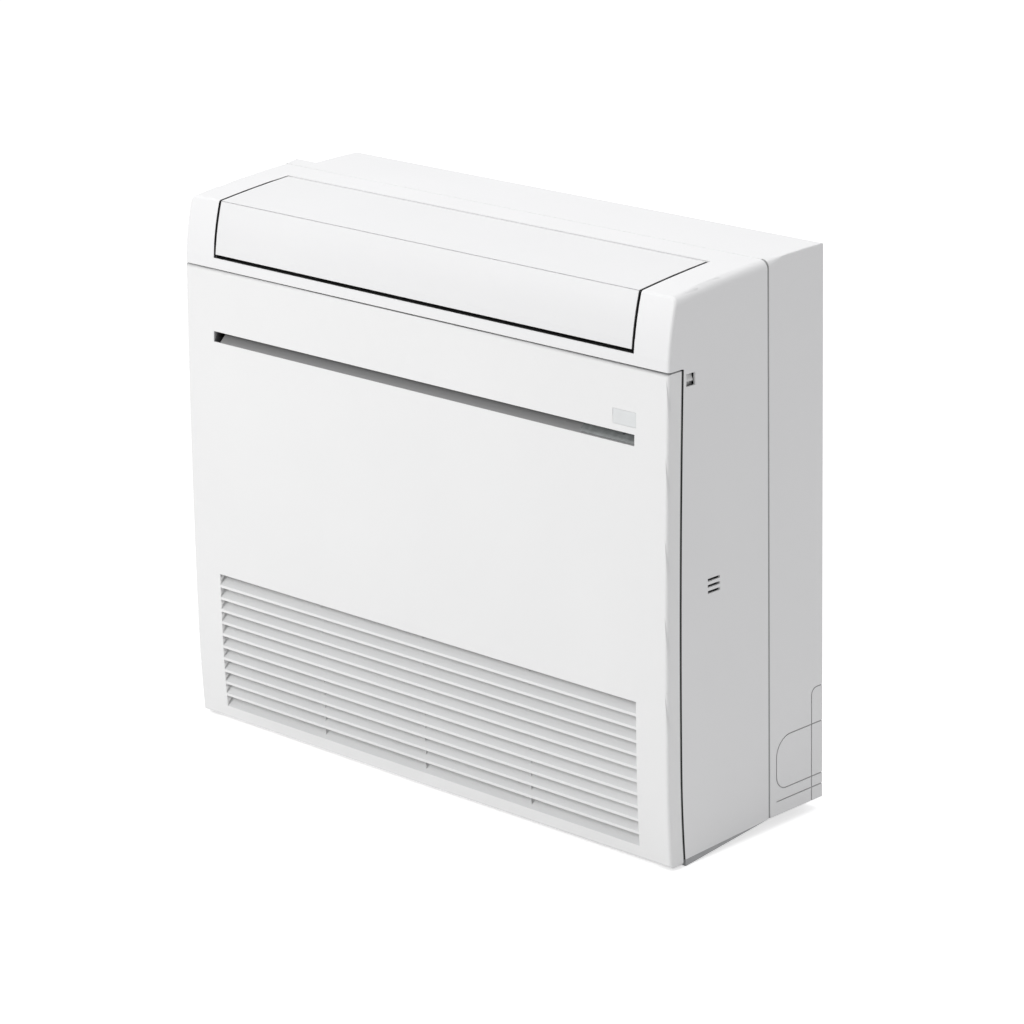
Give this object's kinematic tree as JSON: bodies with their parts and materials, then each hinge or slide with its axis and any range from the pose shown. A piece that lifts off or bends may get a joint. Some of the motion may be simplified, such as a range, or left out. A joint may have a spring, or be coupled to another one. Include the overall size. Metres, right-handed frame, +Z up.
{
  "type": "floor-standing air conditioner indoor unit",
  "caption": "Low floor-standing room air conditioner with a louvred intake at the front and a vaned outlet along its top edge.",
  "frame": {"origin": "on the floor, under the middle of the case", "axes": "+X to the right as seen from the front, +Y to the back, +Z up"},
  "size_m": [0.7, 0.236, 0.6],
  "materials": {
    "white_shell": "fine satin texture",
    "white_vane": "satin",
    "duct_plastic": "matt",
    "louvre_plastic": "matt",
    "rotor_plastic": "satin",
    "dark_lens": "smooth",
    "lamp": "smooth",
    "pale_window": "smooth",
    "galvanised": "zinc coated",
    "base_steel": "powder coated",
    "fin_aluminium": "fins",
    "copper": "drawn copper tube",
    "brass": "machined",
    "motor_steel": "plated",
    "motor_case": "moulded",
    "steel_shaft": "ground",
    "rubber": "matt",
    "pan_foam": "moulded",
    "hose_plastic": "ribbed",
    "filter_mesh": "fine mesh",
    "filter_plastic": "matt",
    "box_plastic": "flame retardant",
    "board": "solder mask",
    "terminal": "moulded",
    "button_plastic": "satin",
    "screw_steel": "zinc plated"
  },
  "bodies": {
    "case": {"front_casing": "white_shell", "rear_casing": "white_shell", "base_plate": "base_steel", "wall_plate": "galvanised", "outlet_duct": "duct_plastic", "stabiliser": "duct_plastic", "louvre_motor_left": "motor_case", "louvre_motor_right": "motor_case", "front_vane_motor": "motor_case", "top_vane_motor": "motor_case", "inner_vane_motor": "motor_case", "fan_motor": "motor_steel", "motor_bracket": "duct_plastic", "motor_clamp": "galvanised", "bearing_holder": "duct_plastic", "fan_bearing": "rubber", "heat_exchanger": "fin_aluminium", "coil_end_plate_left": "galvanised", "coil_end_plate_right": "galvanised", "coil_bends": "copper", "gas_pipe": "copper", "liquid_pipe": "copper", "gas_flare_nut": "brass", "liquid_flare_nut": "brass", "drain_pan": "pan_foam", "drain_hose": "hose_plastic", "filter_frame": "filter_plastic", "electrical_box": "box_plastic", "electrical_cover": "galvanised", "control_board": "board", "terminal_block": "terminal", "cable_clamp": "terminal", "room_thermistor": "terminal", "casing_screws": "screw_steel"},
    "panel": {"front_panel": "white_shell", "display_lens": "dark_lens", "indicator_lamps": "lamp", "receiver_window": "pale_window"},
    "front_vane": {"front_vane": "white_vane"},
    "top_vane": {"top_vane": "white_vane"},
    "inner_vane": {"inner_vane": "louvre_plastic"},
    "rotor": {"fan_rotor": "rotor_plastic", "motor_shaft": "steel_shaft"},
    "button": {"push_button": "button_plastic"},
    "filter_left": {"air_filter_left": "filter_mesh"},
    "filter_right": {"air_filter_right": "filter_mesh"},
    "blade_1": {"louvre_blade_1": "louvre_plastic"},
    "blade_2": {"louvre_blade_2": "louvre_plastic"},
    "blade_3": {"louvre_blade_3": "louvre_plastic"},
    "blade_4": {"louvre_blade_4": "louvre_plastic"},
    "blade_5": {"louvre_blade_5": "louvre_plastic"},
    "blade_6": {"louvre_blade_6": "louvre_plastic"},
    "blade_7": {"louvre_blade_7": "louvre_plastic"},
    "blade_8": {"louvre_blade_8": "louvre_plastic"},
    "blade_9": {"louvre_blade_9": "louvre_plastic"},
    "blade_10": {"louvre_blade_10": "louvre_plastic"},
    "link_left": {"link_bar_left": "louvre_plastic"},
    "link_right": {"link_bar_right": "louvre_plastic"}
  },
  "joints": [
    {"name": "panel_hinge", "type": "hinge", "parent": "case", "child": "panel", "pos_m": [0, -0.104, 0.01], "axis": [1, 0, 0], "range_deg": [0, 35]},
    {"name": "front_vane_hinge", "type": "hinge", "parent": "case", "child": "front_vane", "pos_m": [0, -0.10343, 0.537], "axis": [1, 0, 0], "range_deg": [0, 75]},
    {"name": "top_vane_hinge", "type": "hinge", "parent": "case", "child": "top_vane", "pos_m": [0, -0.0025, 0.59069], "axis": [-1, 0, 0], "range_deg": [0, 60]},
    {"name": "inner_vane_hinge", "type": "hinge", "parent": "case", "child": "inner_vane", "pos_m": [0, -0.05, 0.552], "axis": [1, 0, 0], "range_deg": [-25, 25]},
    {"name": "rotor_spin", "type": "hinge", "parent": "case", "child": "rotor", "pos_m": [0, 0.03, 0.385], "axis": [1, 0, 0], "continuous": true},
    {"name": "button_press", "type": "slide", "parent": "case", "child": "button", "axis": [0, 1, 0], "range_m": [0, 0.0015], "stiffness_N_per_m": 600},
    {"name": "filter_lift_left", "type": "slide", "parent": "case", "child": "filter_left", "axis": [0, 0, 1], "range_m": [0, 0.03]},
    {"name": "filter_lift_right", "type": "slide", "parent": "case", "child": "filter_right", "axis": [0, 0, 1], "range_m": [0, 0.03]},
    {"name": "blade_turn_1", "type": "hinge", "parent": "case", "child": "blade_1", "pos_m": [-0.261, -0.04895, 0.45546], "axis": [0, 0.7993, 0.601], "range_deg": [-30, 30]},
    {"name": "blade_turn_2", "type": "hinge", "parent": "case", "child": "blade_2", "pos_m": [-0.203, -0.04895, 0.45546], "axis": [0, 0.7993, 0.601], "range_deg": [-30, 30]},
    {"name": "blade_turn_3", "type": "hinge", "parent": "case", "child": "blade_3", "pos_m": [-0.145, -0.04895, 0.45546], "axis": [0, 0.7993, 0.601], "range_deg": [-30, 30]},
    {"name": "blade_turn_4", "type": "hinge", "parent": "case", "child": "blade_4", "pos_m": [-0.087, -0.04895, 0.45546], "axis": [0, 0.7993, 0.601], "range_deg": [-30, 30]},
    {"name": "blade_turn_5", "type": "hinge", "parent": "case", "child": "blade_5", "pos_m": [-0.029, -0.04895, 0.45546], "axis": [0, 0.7993, 0.601], "range_deg": [-30, 30]},
    {"name": "blade_turn_6", "type": "hinge", "parent": "case", "child": "blade_6", "pos_m": [0.029, -0.04895, 0.45546], "axis": [0, 0.7993, 0.601], "range_deg": [-30, 30]},
    {"name": "blade_turn_7", "type": "hinge", "parent": "case", "child": "blade_7", "pos_m": [0.087, -0.04895, 0.45546], "axis": [0, 0.7993, 0.601], "range_deg": [-30, 30]},
    {"name": "blade_turn_8", "type": "hinge", "parent": "case", "child": "blade_8", "pos_m": [0.145, -0.04895, 0.45546], "axis": [0, 0.7993, 0.601], "range_deg": [-30, 30]},
    {"name": "blade_turn_9", "type": "hinge", "parent": "case", "child": "blade_9", "pos_m": [0.203, -0.04895, 0.45546], "axis": [0, 0.7993, 0.601], "range_deg": [-30, 30]},
    {"name": "blade_turn_10", "type": "hinge", "parent": "case", "child": "blade_10", "pos_m": [0.261, -0.04895, 0.45546], "axis": [0, 0.7993, 0.601], "range_deg": [-30, 30]},
    {"name": "link_turn_left", "type": "hinge", "parent": "blade_1", "child": "link_left", "pos_m": [-0.261, 0.02109, 0.4881], "axis": [0, 0.7993, 0.601], "range_deg": [-30, 30]},
    {"name": "link_turn_right", "type": "hinge", "parent": "blade_10", "child": "link_right", "pos_m": [0.261, 0.02109, 0.4881], "axis": [0, 0.7993, 0.601], "range_deg": [-30, 30]}
  ],
  "couplings": [
    {"joint": "blade_turn_2", "follows": "blade_turn_1", "ratio": 1},
    {"joint": "blade_turn_3", "follows": "blade_turn_1", "ratio": 1},
    {"joint": "blade_turn_4", "follows": "blade_turn_1", "ratio": 1},
    {"joint": "blade_turn_5", "follows": "blade_turn_1", "ratio": 1},
    {"joint": "blade_turn_6", "follows": "blade_turn_10", "ratio": 1},
    {"joint": "blade_turn_7", "follows": "blade_turn_10", "ratio": 1},
    {"joint": "blade_turn_8", "follows": "blade_turn_10", "ratio": 1},
    {"joint": "blade_turn_9", "follows": "blade_turn_10", "ratio": 1},
    {"joint": "link_turn_left", "follows": "blade_turn_1", "ratio": -1},
    {"joint": "link_turn_right", "follows": "blade_turn_10", "ratio": -1}
  ]
}
